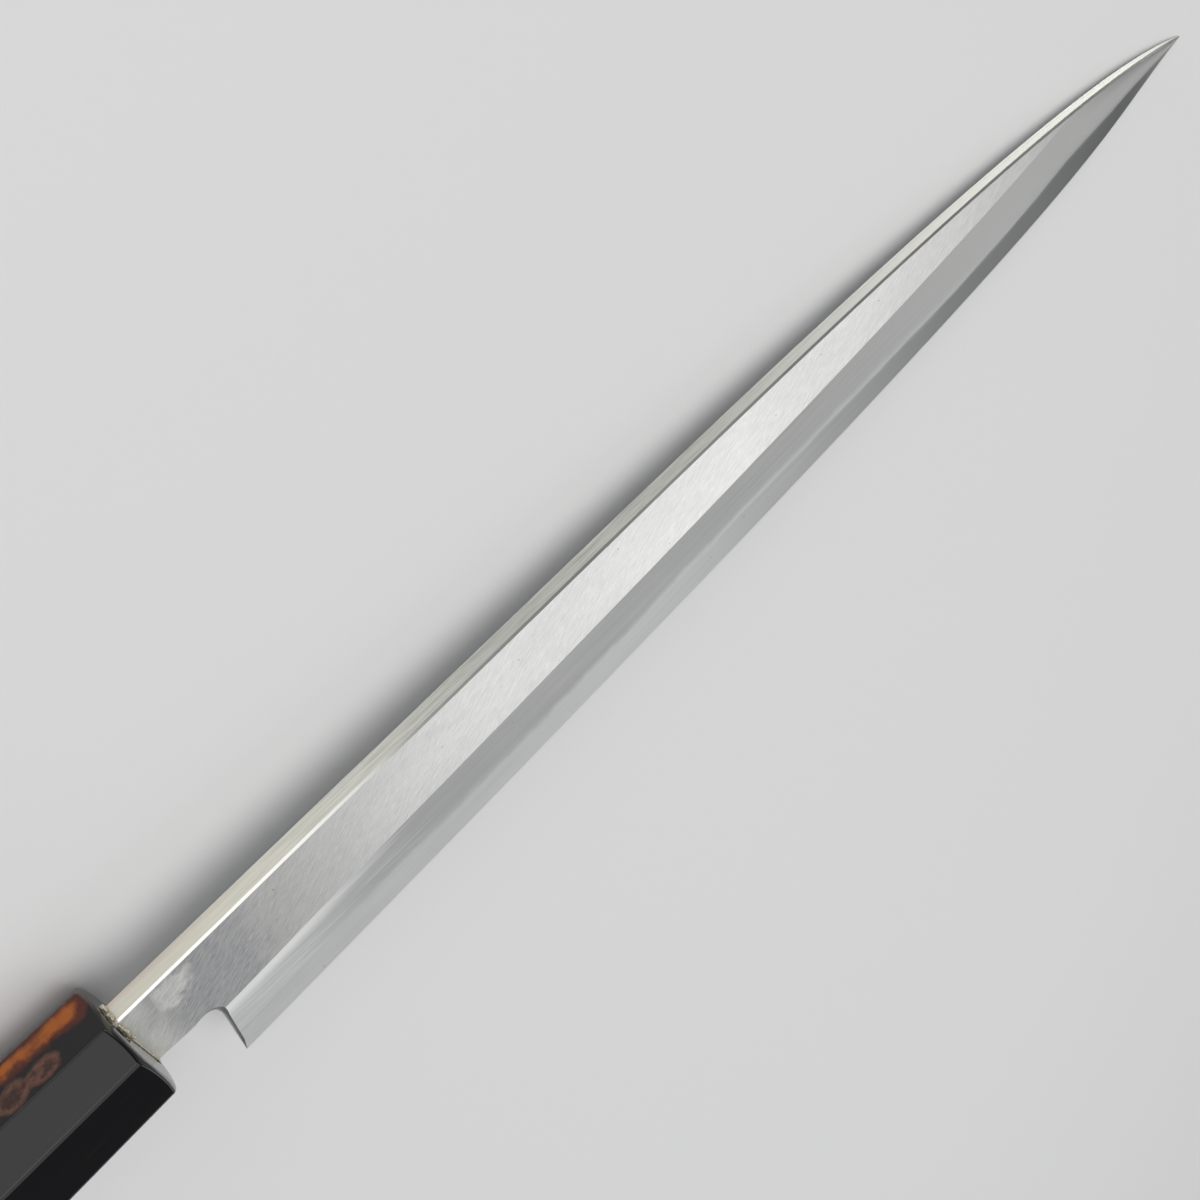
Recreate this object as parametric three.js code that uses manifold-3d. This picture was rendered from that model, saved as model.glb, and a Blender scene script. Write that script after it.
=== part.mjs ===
// A single-bevel Japanese slicing knife with an octagonal handle, lying on its hollow back.
// While a piece is modelled, X runs from the ferrule's mouth to the tip, Y points to the
// spine and Z out of the bevelled face. The handle's axis is Y = Z = 0. Millimetres.

import * as THREE from "three";
import { mergeVertices } from "three/addons/utils/BufferGeometryUtils.js";
import Module from "manifold-3d";

const wasm = await Module();
wasm.setup();

// Blade outline
const EDGE_LENGTH = 267.5; // heel corner to tip
const NECK_LENGTH = 10.5; // ferrule's mouth to heel corner
const NECK_HEIGHT = 15.3;
const SPINE_HEIGHT = 7; // spine above the handle's axis
const HEEL_HEIGHT = 34.2; // spine to heel corner
const TIP_DROP = 13.3; // spine to tip
const TIP_LAND = 0.7; // blunted height of the very tip
const SPINE_FALL_LENGTH = 158; // part of the spine that curves down to the tip
const SPINE_LEVEL_SHARE = 0.37; // share of that part over which it stays nearly level
const SPINE_STEEP_SHARE = 0.14; // share of that part over which it turns steep
const SPINE_STEEP_RISE = 0.91; // share of the tip's drop taken by the steep end
const EDGE_FLAT_SHARE = 0.945; // pull of the heel's direction on the edge curve
const EDGE_FLAT_RISE = 0.31; // share of the edge's rise reached along that direction
const EDGE_BELLY_SHARE = 0.12; // pull of the tip's direction on the edge curve
const EDGE_BELLY_RISE = 0.316; // share of the edge's rise left for the belly
const CHOIL_LEAN = 9.6; // degrees that the heel's back edge leans towards the tip
const CHOIL_RADIUS = 3.2; // round between the neck and the heel

// Blade section
const SPINE_THICKNESS = 4.55; // at the ferrule's mouth
const BLADE_OFFSET = 0.27; // middle of the spine behind the handle's axis, towards the back
const LENGTH_TAPER = 0.0072; // thickness lost for each millimetre towards the tip
const FACE_TAPER = 0.065; // thickness lost for each millimetre below the spine
const TIP_THINNING = 3.5; // blade height over which the point thins out
const SPINE_EASE = 0.4; // chamfer along both sides of the spine
const BEVEL_WIDTH = 16.6; // edge to ridge line
const HEEL_BEVEL_WIDTH = 15.6; // the same at the heel
const HEEL_BEVEL_RUN = 60; // length over which the ridge line settles
const RIDGE_LAND = 0.15; // flat left above the ridge line where it meets the spine
const EDGE_LAND = 0.08; // thickness of the edge itself
const HOLLOW_RADIUS = 250; // wheel that grinds the hollow of the back
const HOLLOW_START = 17; // hollow's end near the heel, from the ferrule's mouth
const HOLLOW_RUN_IN = 14; // length over which the hollow reaches its depth
const SPINE_RIM = 2.2; // flat rim of the back along the spine
const EDGE_RIM = 1.4; // flat rim of the back along the edge

// Forge weld between the hard steel and the soft iron
const STEEL_SHARE = 0.385; // hard layer's share of the bevel's height
const STEEL_START = 5; // hard layer's end in the neck, from the ferrule's mouth
const WELD_WANDER = 0.1; // share by which the hand-forged layer varies
const WELD_WAVE = 120; // length of one such wave
const WELD_GAP = 0.03;

// Tang
const NECK_SEAT = 6; // neck inside the ferrule
const TANG_LENGTH = 88;
const TANG_HEIGHT = 10.5;
const TANG_THICKNESS = 2.7;
const TANG_END_HEIGHT = 6;
const TANG_END_THICKNESS = 2;

// Octagonal handle
const HANDLE_LENGTH = 142; // ferrule and wood together
const FERRULE_LENGTH = 36;
const MOUTH_HEIGHT = 22.6; // across Y at the ferrule's mouth
const MOUTH_WIDTH = 21.2; // across Z at the ferrule's mouth
const BUTT_HEIGHT = 27.4;
const BUTT_WIDTH = 26;
const MOUTH_CORNER = 5.6; // corner cut at the mouth
const BUTT_CORNER = 6.8; // corner cut at the butt
const ARRIS_EASE = 0.35; // easing of the eight long edges
const BUTT_EASE = 1.2; // chamfer round the butt
const MOUTH_FLAT = 9; // radius of the flat round the blade
const MOUTH_ROUND = 6; // radius that turns the mouth back to the facets

// Dowel in the handle
const DOWEL_DIAMETER = 14;
const DOWEL_LENGTH = 98;

// Resin bead round the neck
const BEAD_WIDTH = 0.8;
const BEAD_THICKNESS = 0.55;
const BEAD_ROUND = 0.2;

// Clearances
const SLOT_CLEARANCE = 0.3; // neck and tang in their slots
const BORE_CLEARANCE = 0.15; // dowel in its bore, on the radius
const JOINT_GAP = 0.1; // glue line between resting pieces

// Fineness of the curved forms
const BLADE_STATIONS = 54;
const STATION_CROWDING = 1.5; // above 1 sets the stations closer towards the tip
const HOLLOW_POINTS = 7;
const ROUND_SEGMENTS = 64;
const MOUTH_SEGMENTS = 24; // few, so that the lip rests on points that lie well apart
const MOUTH_RINGS = 7;
const ARC_SEGMENTS = 10;
const CUT_MARGIN = 5; // how far a cutting solid reaches past what it cuts
const MERGE_DISTANCE = 1e-4;
const CURVE_PRECISION = 1e-7; // of a curve's own parameter

const { clamp, degToRad, lerp, smoothstep } = THREE.MathUtils;

const HEEL_X = NECK_LENGTH;
const HEEL_Y = SPINE_HEIGHT - HEEL_HEIGHT;
const NECK_LOW_Y = SPINE_HEIGHT - NECK_HEIGHT;
const TIP_X = HEEL_X + EDGE_LENGTH;
const TIP_Y = SPINE_HEIGHT - TIP_DROP;
const BACK_Z = -SPINE_THICKNESS / 2 - BLADE_OFFSET;
const TANG_END_X = -NECK_SEAT - TANG_LENGTH;

// Solids

function toSolid(geometry) {
  const plain = new THREE.BufferGeometry();
  plain.setAttribute("position", geometry.getAttribute("position").clone());
  plain.setIndex(geometry.getIndex());
  const merged = mergeVertices(plain, MERGE_DISTANCE);
  return new wasm.Manifold(new wasm.Mesh({
    numProp: 3,
    vertProperties: new Float32Array(merged.getAttribute("position").array),
    triVerts: new Uint32Array(merged.getIndex().array),
  }));
}

function toMesh(name, solid, look) {
  const { vertProperties, numProp, triVerts } = solid.getMesh();
  const points = [];
  for (let i = 0; i < vertProperties.length; i += numProp) {
    points.push(vertProperties[i], vertProperties[i + 1], vertProperties[i + 2]);
  }
  const geometry = new THREE.BufferGeometry();
  geometry.setAttribute("position", new THREE.Float32BufferAttribute(points, 3));
  geometry.setIndex(Array.from(triVerts));
  geometry.computeVertexNormals();
  const mesh = new THREE.Mesh(geometry, new THREE.MeshStandardMaterial(look));
  mesh.name = name;
  return mesh;
}

// Skins a row of rings that stand across X. Each ring runs from Y to Z as seen from the tip.
function loft(rings) {
  const count = rings[0].length;
  const last = (rings.length - 1) * count;
  const index = [];
  for (let start = 0; start < last; start += count) {
    for (let i = 0; i < count; i++) {
      const a = start + i;
      const b = start + ((i + 1) % count);
      index.push(a, b, b + count, a, b + count, a + count);
    }
  }
  for (const [a, b, c] of fillRing(rings[0])) {
    index.push(a, c, b);
  }
  for (const [a, b, c] of fillRing(rings[rings.length - 1])) {
    index.push(last + a, last + b, last + c);
  }
  const geometry = new THREE.BufferGeometry().setFromPoints(rings.flat());
  geometry.setIndex(index);
  return geometry;
}

function fillRing(ring) {
  const outline = ring.map((point) => new THREE.Vector2(point.y, point.z));
  return THREE.ShapeUtils.triangulateShape(outline, []).map((triangle) => {
    const turned = THREE.ShapeUtils.area(triangle.map((i) => outline[i])) < 0;
    return turned ? [...triangle].reverse() : triangle;
  });
}

// Ring of a rectangle that stands across X, centred on the blade's middle plane
function rectangleRing(x, centreY, height, thickness) {
  const y = height / 2;
  const z = thickness / 2;
  return [[-y, -z], [y, -z], [y, z], [-y, z]]
    .map(([dy, dz]) => new THREE.Vector3(x, centreY + dy, dz - BLADE_OFFSET));
}

// Solid of revolution round the X axis from a profile of radius and X
function turned(profile, segments) {
  const points = profile.map(([radius, x]) => new THREE.Vector2(radius, x));
  return new THREE.LatheGeometry(points, segments).rotateZ(-Math.PI / 2);
}

// Round bar along X
function roundBar(diameter, fromX, toX) {
  return new THREE.CylinderGeometry(diameter / 2, diameter / 2, toX - fromX, ROUND_SEGMENTS)
    .rotateZ(-Math.PI / 2)
    .translate((fromX + toX) / 2, 0, 0);
}

// Blade curves

const spineCurve = new THREE.CubicBezierCurve(
  new THREE.Vector2(TIP_X - SPINE_FALL_LENGTH, SPINE_HEIGHT),
  new THREE.Vector2(TIP_X - SPINE_FALL_LENGTH * (1 - SPINE_LEVEL_SHARE), SPINE_HEIGHT),
  new THREE.Vector2(TIP_X - SPINE_FALL_LENGTH * SPINE_STEEP_SHARE, TIP_Y + TIP_DROP * SPINE_STEEP_RISE),
  new THREE.Vector2(TIP_X, TIP_Y + TIP_LAND / 2),
);

const EDGE_RISE = TIP_Y - HEEL_Y;
const edgeCurve = new THREE.CubicBezierCurve(
  new THREE.Vector2(HEEL_X, HEEL_Y),
  new THREE.Vector2(HEEL_X + EDGE_LENGTH * EDGE_FLAT_SHARE, HEEL_Y + EDGE_RISE * EDGE_FLAT_RISE),
  new THREE.Vector2(TIP_X - EDGE_LENGTH * EDGE_BELLY_SHARE, TIP_Y - EDGE_RISE * EDGE_BELLY_RISE),
  new THREE.Vector2(TIP_X, TIP_Y - TIP_LAND / 2),
);

// Height of a curve at X, found by halving. X grows all along the curve.
function heightAt(curve, x) {
  let low = 0;
  let high = 1;
  while (high - low > CURVE_PRECISION) {
    const middle = (low + high) / 2;
    if (curve.getPoint(middle).x < x) {
      low = middle;
    } else {
      high = middle;
    }
  }
  return curve.getPoint(low).y;
}

function spineAt(x) {
  return x > TIP_X - SPINE_FALL_LENGTH ? heightAt(spineCurve, x) : SPINE_HEIGHT;
}

// Ahead of the heel this is the edge. Behind it, the line runs on to where the heel is cut.
function edgeAt(x) {
  const slope = edgeCurve.getTangent(0);
  return x > HEEL_X ? heightAt(edgeCurve, x) : HEEL_Y + (x - HEEL_X) * (slope.y / slope.x);
}

// Thickness of the flat face over the back, one plane but for the thinned point
function thicknessAt(x, y) {
  const plane = SPINE_THICKNESS - LENGTH_TAPER * x - FACE_TAPER * (SPINE_HEIGHT - y);
  const height = spineAt(x) - edgeAt(x);
  return plane * (1 - Math.exp(-height / TIP_THINNING));
}

function ridgeAt(x) {
  const width = lerp(HEEL_BEVEL_WIDTH, BEVEL_WIDTH, smoothstep(x, HEEL_X, HEEL_X + HEEL_BEVEL_RUN));
  const land = Math.min(RIDGE_LAND, TIP_LAND / 4);
  return Math.min(edgeAt(x) + width, spineAt(x) - spineEaseAt(x) - land);
}

function spineEaseAt(x) {
  const height = spineAt(x) - edgeAt(x);
  return Math.min(SPINE_EASE, height / 4, thicknessAt(x, spineAt(x)) / 4);
}

// Places of the blade's sections, crowded towards the tip
function stations(fromX, toX) {
  return Array.from({ length: BLADE_STATIONS + 1 }, (_, i) => {
    return lerp(fromX, toX, 1 - (1 - i / BLADE_STATIONS) ** STATION_CROWDING);
  });
}

// Section of the blade: back with its hollow, spine, flat face and bevel
function bladeRing(x) {
  const spine = spineAt(x);
  const edge = edgeAt(x);
  const height = spine - edge;
  const ease = spineEaseAt(x);
  const ridge = ridgeAt(x);
  const top = BACK_Z + thicknessAt(x, spine);
  const hollowLow = edge + Math.min(EDGE_RIM, height / 4);
  const hollowHigh = spine - ease - Math.min(SPINE_RIM, height / 4);
  const hollowWidth = hollowHigh - hollowLow;
  const runIn = smoothstep(x, HOLLOW_START, HOLLOW_START + HOLLOW_RUN_IN);
  const hollowDepth = (runIn * hollowWidth ** 2) / (8 * HOLLOW_RADIUS);
  const section = [[edge, BACK_Z]];
  for (let i = 0; i < HOLLOW_POINTS; i++) {
    const share = i / (HOLLOW_POINTS - 1);
    const rise = 4 * hollowDepth * share * (1 - share);
    section.push([lerp(hollowLow, hollowHigh, share), BACK_Z + rise]);
  }
  section.push([spine - ease, BACK_Z]);
  section.push([spine, BACK_Z + ease]);
  section.push([spine, top - ease]);
  section.push([spine - ease, BACK_Z + thicknessAt(x, spine - ease)]);
  section.push([ridge, BACK_Z + thicknessAt(x, ridge)]);
  section.push([edge, BACK_Z + EDGE_LAND]);
  return section.map(([y, z]) => new THREE.Vector3(x, y, z));
}

// Cut that leaves the neck, the round below it and the leaning back edge of the heel
function heelCut() {
  const lean = degToRad(CHOIL_LEAN);
  const lowY = HEEL_Y - CUT_MARGIN;
  const choilX = (y) => HEEL_X + Math.tan(lean) * (y - HEEL_Y);
  const roundY = NECK_LOW_Y - CHOIL_RADIUS;
  const roundX = choilX(roundY) - CHOIL_RADIUS / Math.cos(lean);
  const backX = -NECK_SEAT - CUT_MARGIN;
  const shape = new THREE.Shape();
  shape.moveTo(backX, lowY);
  shape.lineTo(choilX(lowY), lowY);
  shape.absarc(roundX, roundY, CHOIL_RADIUS, -lean, Math.PI / 2, false);
  shape.lineTo(backX, NECK_LOW_Y);
  const depth = SPINE_THICKNESS + 2 * CUT_MARGIN;
  return new THREE.ExtrudeGeometry(shape, { depth, bevelEnabled: false, curveSegments: ARC_SEGMENTS })
    .translate(0, 0, BACK_Z - CUT_MARGIN);
}

// Everything between the back and the weld, moved by an offset
function steelZone(offset) {
  const bottom = HEEL_Y - CUT_MARGIN;
  const top = SPINE_HEIGHT + CUT_MARGIN;
  const low = BACK_Z - CUT_MARGIN;
  return toSolid(loft(stations(STEEL_START - offset, TIP_X + CUT_MARGIN).map((x) => {
    const along = Math.min(x, TIP_X);
    const bevel = thicknessAt(along, ridgeAt(along)) - EDGE_LAND;
    const wander = 1 + WELD_WANDER * Math.sin((2 * Math.PI * x) / WELD_WAVE);
    const high = BACK_Z + EDGE_LAND + STEEL_SHARE * bevel * wander + offset;
    return [[bottom, low], [top, low], [top, high], [bottom, high]]
      .map(([y, z]) => new THREE.Vector3(x, y, z));
  })));
}

// Octagon of the handle across X, with eased long edges, drawn in by an inset
function octagonRing(x, inset = 0) {
  const share = clamp(-x / HANDLE_LENGTH, 0, 1);
  const y = lerp(MOUTH_HEIGHT, BUTT_HEIGHT, share) / 2 - inset;
  const z = lerp(MOUTH_WIDTH, BUTT_WIDTH, share) / 2 - inset;
  const cut = lerp(MOUTH_CORNER, BUTT_CORNER, share) - inset * (2 - Math.SQRT2);
  const corners = [
    [y, -z + cut], [y, z - cut], [y - cut, z], [-y + cut, z],
    [-y, z - cut], [-y, -z + cut], [-y + cut, -z], [y - cut, -z],
  ].map(([cornerY, cornerZ]) => new THREE.Vector3(x, cornerY, cornerZ));
  return corners.flatMap((corner, i) => {
    const before = corners[(i + corners.length - 1) % corners.length];
    const after = corners[(i + 1) % corners.length];
    return [before, after].map((next) => {
      const step = new THREE.Vector3().subVectors(next, corner).setLength(ARRIS_EASE);
      return step.add(corner);
    });
  });
}

// Pieces

const forged = toSolid(loft(stations(-NECK_SEAT, TIP_X).map(bladeRing)));
const blade = forged.subtract(toSolid(heelCut()));
const neckCentreY = SPINE_HEIGHT - NECK_HEIGHT / 2;
const tangRing = (x, height, thickness, clearance = 0) => {
  return rectangleRing(x, 0, height + 2 * clearance, thickness + 2 * clearance);
};
const tang = toSolid(loft([
  tangRing(TANG_END_X, TANG_END_HEIGHT, TANG_END_THICKNESS),
  tangRing(-NECK_SEAT / 2, TANG_HEIGHT, TANG_THICKNESS),
]));
const cladding = blade.subtract(steelZone(WELD_GAP / 2)).add(tang);
const edgeSteel = blade.intersect(steelZone(-WELD_GAP / 2));

// The dowel's slot follows the tang and stops just past its end.
const seatX = -NECK_SEAT - SLOT_CLEARANCE;
const dowelStart = seatX - JOINT_GAP;
const dowelEnd = dowelStart - DOWEL_LENGTH;
const tangSlot = toSolid(loft([
  tangRing(TANG_END_X - SLOT_CLEARANCE, TANG_END_HEIGHT, TANG_END_THICKNESS, SLOT_CLEARANCE),
  tangRing(-NECK_SEAT / 2, TANG_HEIGHT, TANG_THICKNESS, SLOT_CLEARANCE),
]));
const dowel = toSolid(roundBar(DOWEL_DIAMETER, dowelEnd, dowelStart)).subtract(tangSlot);
const dowelBore = toSolid(roundBar(DOWEL_DIAMETER + 2 * BORE_CLEARANCE, dowelEnd - JOINT_GAP, seatX));

// The mouth is turned: a flat round the blade, then a round that meets each facet in an arc.
const mouthReach = Math.hypot(BUTT_HEIGHT, BUTT_WIDTH);
const mouthProfile = [[0, -FERRULE_LENGTH - CUT_MARGIN], [mouthReach, -FERRULE_LENGTH - CUT_MARGIN]];
mouthProfile.push([mouthReach, -MOUTH_ROUND]);
for (let i = MOUTH_RINGS; i >= 0; i--) {
  const angle = (Math.PI / 2) * (i / MOUTH_RINGS);
  mouthProfile.push([MOUTH_FLAT + MOUTH_ROUND * Math.sin(angle), MOUTH_ROUND * (Math.cos(angle) - 1)]);
}
mouthProfile.push([0, 0]);
const slotHeight = NECK_HEIGHT + 2 * SLOT_CLEARANCE;
const slotThickness = SPINE_THICKNESS + 2 * SLOT_CLEARANCE;
const neckSlot = toSolid(loft([dowelStart, CUT_MARGIN].map((x) => {
  return rectangleRing(x, neckCentreY, slotHeight, slotThickness);
})));
const ferrule = toSolid(loft([octagonRing(-FERRULE_LENGTH), octagonRing(0)]))
  .intersect(toSolid(turned(mouthProfile, MOUTH_SEGMENTS)))
  .subtract(neckSlot)
  .subtract(dowelBore);

const handleBody = toSolid(loft([
  octagonRing(-HANDLE_LENGTH, BUTT_EASE),
  octagonRing(-HANDLE_LENGTH + BUTT_EASE),
  octagonRing(-FERRULE_LENGTH - JOINT_GAP),
])).subtract(dowelBore);

// Bead of resin that closes the slot round the neck, drawn on the mouth and seen from the tip
function neckOutline(path, offset) {
  const low = NECK_LOW_Y - offset;
  const high = SPINE_HEIGHT + offset;
  const faceLow = BACK_Z + thicknessAt(0, NECK_LOW_Y) + offset;
  path.moveTo(low, BACK_Z - offset);
  path.lineTo(high, BACK_Z - offset);
  path.lineTo(high, BACK_Z + SPINE_THICKNESS + offset);
  path.lineTo(low, faceLow);
  return path;
}
const beadShape = neckOutline(new THREE.Shape(), BEAD_WIDTH);
beadShape.holes.push(neckOutline(new THREE.Path(), JOINT_GAP));
const bead = new THREE.ExtrudeGeometry(beadShape, {
  depth: BEAD_THICKNESS - 2 * BEAD_ROUND,
  bevelThickness: BEAD_ROUND,
  bevelSize: BEAD_ROUND,
  bevelOffset: -BEAD_ROUND,
  bevelSegments: 3,
});
bead.applyMatrix4(new THREE.Matrix4().makeBasis(
  new THREE.Vector3(0, 1, 0), new THREE.Vector3(0, 0, 1), new THREE.Vector3(1, 0, 0),
)).translate(JOINT_GAP + BEAD_ROUND, 0, 0);

// The knife leans on the ferrule's lower lip and on the tip.
const knife = new THREE.Group();
knife.add(
  toMesh("blade_cladding", cladding, { color: 0xb9bcbd, roughness: 0.34, metalness: 1 }),
  toMesh("edge_steel", edgeSteel, { color: 0xc9cdd1, roughness: 0.26, metalness: 1 }),
  toMesh("ferrule", ferrule, { color: 0x2b211d, roughness: 0.18, metalness: 0 }),
  toMesh("handle_body", handleBody, { color: 0xcbb08a, roughness: 0.55, metalness: 0 }),
  toMesh("core_dowel", dowel, { color: 0xd2b587, roughness: 0.7, metalness: 0 }),
  toMesh("neck_seal", toSolid(bead), { color: 0xc8a860, roughness: 0.3, metalness: 0 }),
);
knife.rotation.y = Math.atan2(MOUTH_WIDTH / 2 + BACK_Z, TIP_X);

// The origin is under the middle of the knife, on the table.
const part = new THREE.Group();
part.add(knife);
const box = new THREE.Box3().setFromObject(part, true);
knife.position.set(-(box.min.x + box.max.x) / 2, -(box.min.y + box.max.y) / 2, -box.min.z);

export default part;
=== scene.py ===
"""Looks of a single-bevel slicing knife that lies on its hollow back.

Forms are written in the knife's own axes, in millimetres: X from the ferrule's mouth to the tip,
Y to the spine, Z out of the bevelled face, with the handle's axis at Y = Z = 0. They are turned
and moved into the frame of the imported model, in metres, when their mesh is made.
"""

import math

import bmesh
import bpy
import numpy as np
from mathutils import Matrix, Vector


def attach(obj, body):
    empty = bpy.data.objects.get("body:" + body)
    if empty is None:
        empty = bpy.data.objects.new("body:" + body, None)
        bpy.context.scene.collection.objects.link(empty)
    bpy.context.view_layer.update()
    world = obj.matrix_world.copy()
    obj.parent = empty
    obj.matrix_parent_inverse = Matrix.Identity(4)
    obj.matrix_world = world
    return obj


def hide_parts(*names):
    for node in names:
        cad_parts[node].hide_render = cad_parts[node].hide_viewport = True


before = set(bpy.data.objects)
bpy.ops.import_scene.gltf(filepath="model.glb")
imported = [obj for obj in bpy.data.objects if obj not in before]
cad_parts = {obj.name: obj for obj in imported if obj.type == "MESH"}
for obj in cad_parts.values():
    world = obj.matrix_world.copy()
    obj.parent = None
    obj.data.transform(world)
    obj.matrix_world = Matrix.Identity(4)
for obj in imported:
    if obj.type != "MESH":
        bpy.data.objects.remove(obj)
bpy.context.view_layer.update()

# Blade outline; the pulls are shares of a curve's length or rise at its two inner points
EDGE_LENGTH = 267.5
HEEL_X = 10.5
NECK_HEIGHT = 15.3
SPINE_Y = 7.0
HEEL_HEIGHT = 34.2
TIP_DROP = 13.3
TIP_LAND = 0.35
SPINE_FALL = 158.0
SPINE_PULLS = (0.63, 0.14, 0.91)
EDGE_PULLS = (0.945, 0.31, 0.12, 0.316)
CURVE_STEPS = 6001

# Blade section
SPINE_THICKNESS = 4.55
BLADE_OFFSET = 0.27
LENGTH_TAPER = 0.0072
FACE_TAPER = 0.065
TIP_THINNING = 3.5
SPINE_EASE = 0.4
BEVEL_WIDTH = 16.6
HEEL_BEVEL_WIDTH = 15.6
HEEL_BEVEL_RUN = 60.0
RIDGE_LAND = TIP_LAND / 4
RIDGE_ROUND = 2.2
RIDGE_ROUND_END = 0.12
RIDGE_ROUND_START = 20.0
RIDGE_ROUND_RUN = 60.0
EDGE_LAND = 0.08
EDGE_TRIM = 0.002
HONED_WIDTH = 0.3
HONED_LAND = 0.03
HOLLOW_RADIUS = 250.0
HOLLOW_START = 17.0
HOLLOW_RUN_IN = 14.0
HOLLOW_STEPS = 24
SPINE_RIM = 2.2
EDGE_RIM = 1.4

# Notch between neck and heel. Its corner is a little fuller than the solid's. The easing of its upper
# edge grows over SCOOP, which is the Y of the direction into the metal, and fades under the neck.
CHOIL_LEAN = math.radians(8.6)
CHOIL_RADIUS = 4.7
NECK_SAG = 0.45
HEEL_EASE = 0.5
NOTCH_EASE = 1.7
NECK_EASE = 0.25
MOST_EASE = 0.6
SCOOP = (-0.1, 0.6)
FLARE = math.radians(70)
FLARE_STEPS = 7
ROUND_STEPS = 25
WALL_STEPS = 30
CUT_MARGIN = 5.0
CUT_SINK = 0.01

# Forge weld; each wave of its ripple has a length, a phase and a share
STEEL_SHARE = 0.385
STEEL_START = 5.0
WELD_WANDER = 0.1
WELD_WAVE = 120.0
WELD_RIPPLE = 0.012
RIPPLE_WAVES = ((3.7, 0.0, 1.0), (1.9, 2.0, 0.6), (7.3, 1.0, 1.0))
WELD_GAP = 0.006
WELD_EASE = 0.02

# Places of the blade's sections
FINE_END = 16.0
FINE_STEP = 0.55
COARSE_STEP = 1.9
TIP_RUN = 44.0
TIP_SECTIONS = 40
TIP_CROWDING = 1.4
LEAST_STEP = 0.1

# Tang
NECK_SEAT = 6.0
TANG_LENGTH = 88.0
TANG_SIZE = (10.5, 2.7)
TANG_END_SIZE = (6.0, 2.0)
TANG_CORNER = 0.5

# Handle
HANDLE_LENGTH = 142.0
FERRULE_LENGTH = 36.0
MOUTH_SIZE = (22.6, 21.2)
BUTT_SIZE = (27.4, 26.0)
MOUTH_CORNER = 5.6
BUTT_CORNER = 6.8
MOUTH_FLAT = 9.0
MOUTH_ROUND = 6.0
BORE_RADIUS = 7.15
BORE_END = -104.5
BORE_STEP = 0.1
SLOT_CLEARANCE = 0.3
SLOT_MOUTH = -0.2
JOINT_GAP = 0.1

# Easing of the handle's edges
ARRIS_EASE = 0.45
ARRIS_STEPS = 6
LIP_EASE = 0.3
SEAM_EASE = 0.2
SEAM_INSET = 0.985
BUTT_EASE = 1.3

# Rows of faces along the handle, and passes that find the place of the ferrule's lip
FACET_SHARES = (0.03, 0.2, 0.4, 0.6, 0.8, 0.97)
MOUTH_ROWS = 12
LIP_PASSES = 4
FERRULE_ROWS = 14
GRIP_ROWS = 30
BUTT_SHARES = (0.75, 0.5, 0.25, 0.02)
AXIS_SHARE = 0.02

# Resin bead; each pair is a least size and what chance may add to it
BEAD_SEED = 7
BEAD_GAP = 0.11
BEAD_STEP = 0.3
BEAD_HEIGHT = (0.12, 0.07)
BEAD_WIDTH = (0.24, 0.12)
BEAD_PROFILE = ((0, 0), (0, 1), (0.4, 0.85), (0.8, 0.45), (1, 0))
CRUMB_TRIES = 2
CRUMB_CHANCE = 0.42
CRUMB_START = 0.5
CRUMB_RUN = 4
CRUMB_RADIUS = (0.28, 0.26)
CRUMB_STRAY = 0.22
CRUMB_LIFT = 0.1
CRUMB_FLATTENING = 0.8
CRUMB_REACH = (0.72, 0.5)
CRUMB_POLE = 0.12
CRUMB_RINGS = 5
CRUMB_SIDES = 7

HEEL_Y = SPINE_Y - HEEL_HEIGHT
NECK_LOW_Y = SPINE_Y - NECK_HEIGHT
TIP_X = HEEL_X + EDGE_LENGTH
TIP_Y = SPINE_Y - TIP_DROP
BACK_Z = -SPINE_THICKNESS / 2 - BLADE_OFFSET

# Shares of the way round an eased corner, and angles in degrees from which an edge looks sharp
EASE_SHARES = (0, 0.25, 0.5, 0.75, 1)
BLADE_CREASE = 3.0
TANG_CREASE = 20.0
HANDLE_CREASE = 35.0
BEAD_CREASE = 40.0

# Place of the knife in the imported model
LEAN = math.atan2(MOUTH_SIZE[1] / 2 + BACK_Z, TIP_X)
PLACE = Vector((-67.7682, 6.7600, 10.5956))
TURN = Matrix.Rotation(LEAN, 3, "Y")
MILLIMETRE = 0.001

# Lengths in metres at which points count as one, and an edge as none
JOIN_REACH = 1e-5
CUT_REACH = 2e-6
NO_LENGTH = 1e-8


def to_row(points):
    """Points of the knife in millimetres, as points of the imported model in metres."""
    return (np.asarray(points, float) @ np.array(TURN).T + np.array(PLACE)) * MILLIMETRE


def to_knife(points):
    """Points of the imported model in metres, as points of the knife in millimetres."""
    return (np.asarray(points, float) / MILLIMETRE - np.array(PLACE)) @ np.array(TURN)


# Blade curves


def bezier(*points):
    """A curve as two rows of numbers, its X and its Y."""
    t = np.linspace(0, 1, CURVE_STEPS)[:, None]
    a, b, c, d = (np.array(p, float) for p in points)
    curve = (1 - t) ** 3 * a + 3 * t * (1 - t) ** 2 * b + 3 * t**2 * (1 - t) * c + t**3 * d
    return curve[:, 0], curve[:, 1]


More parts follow.
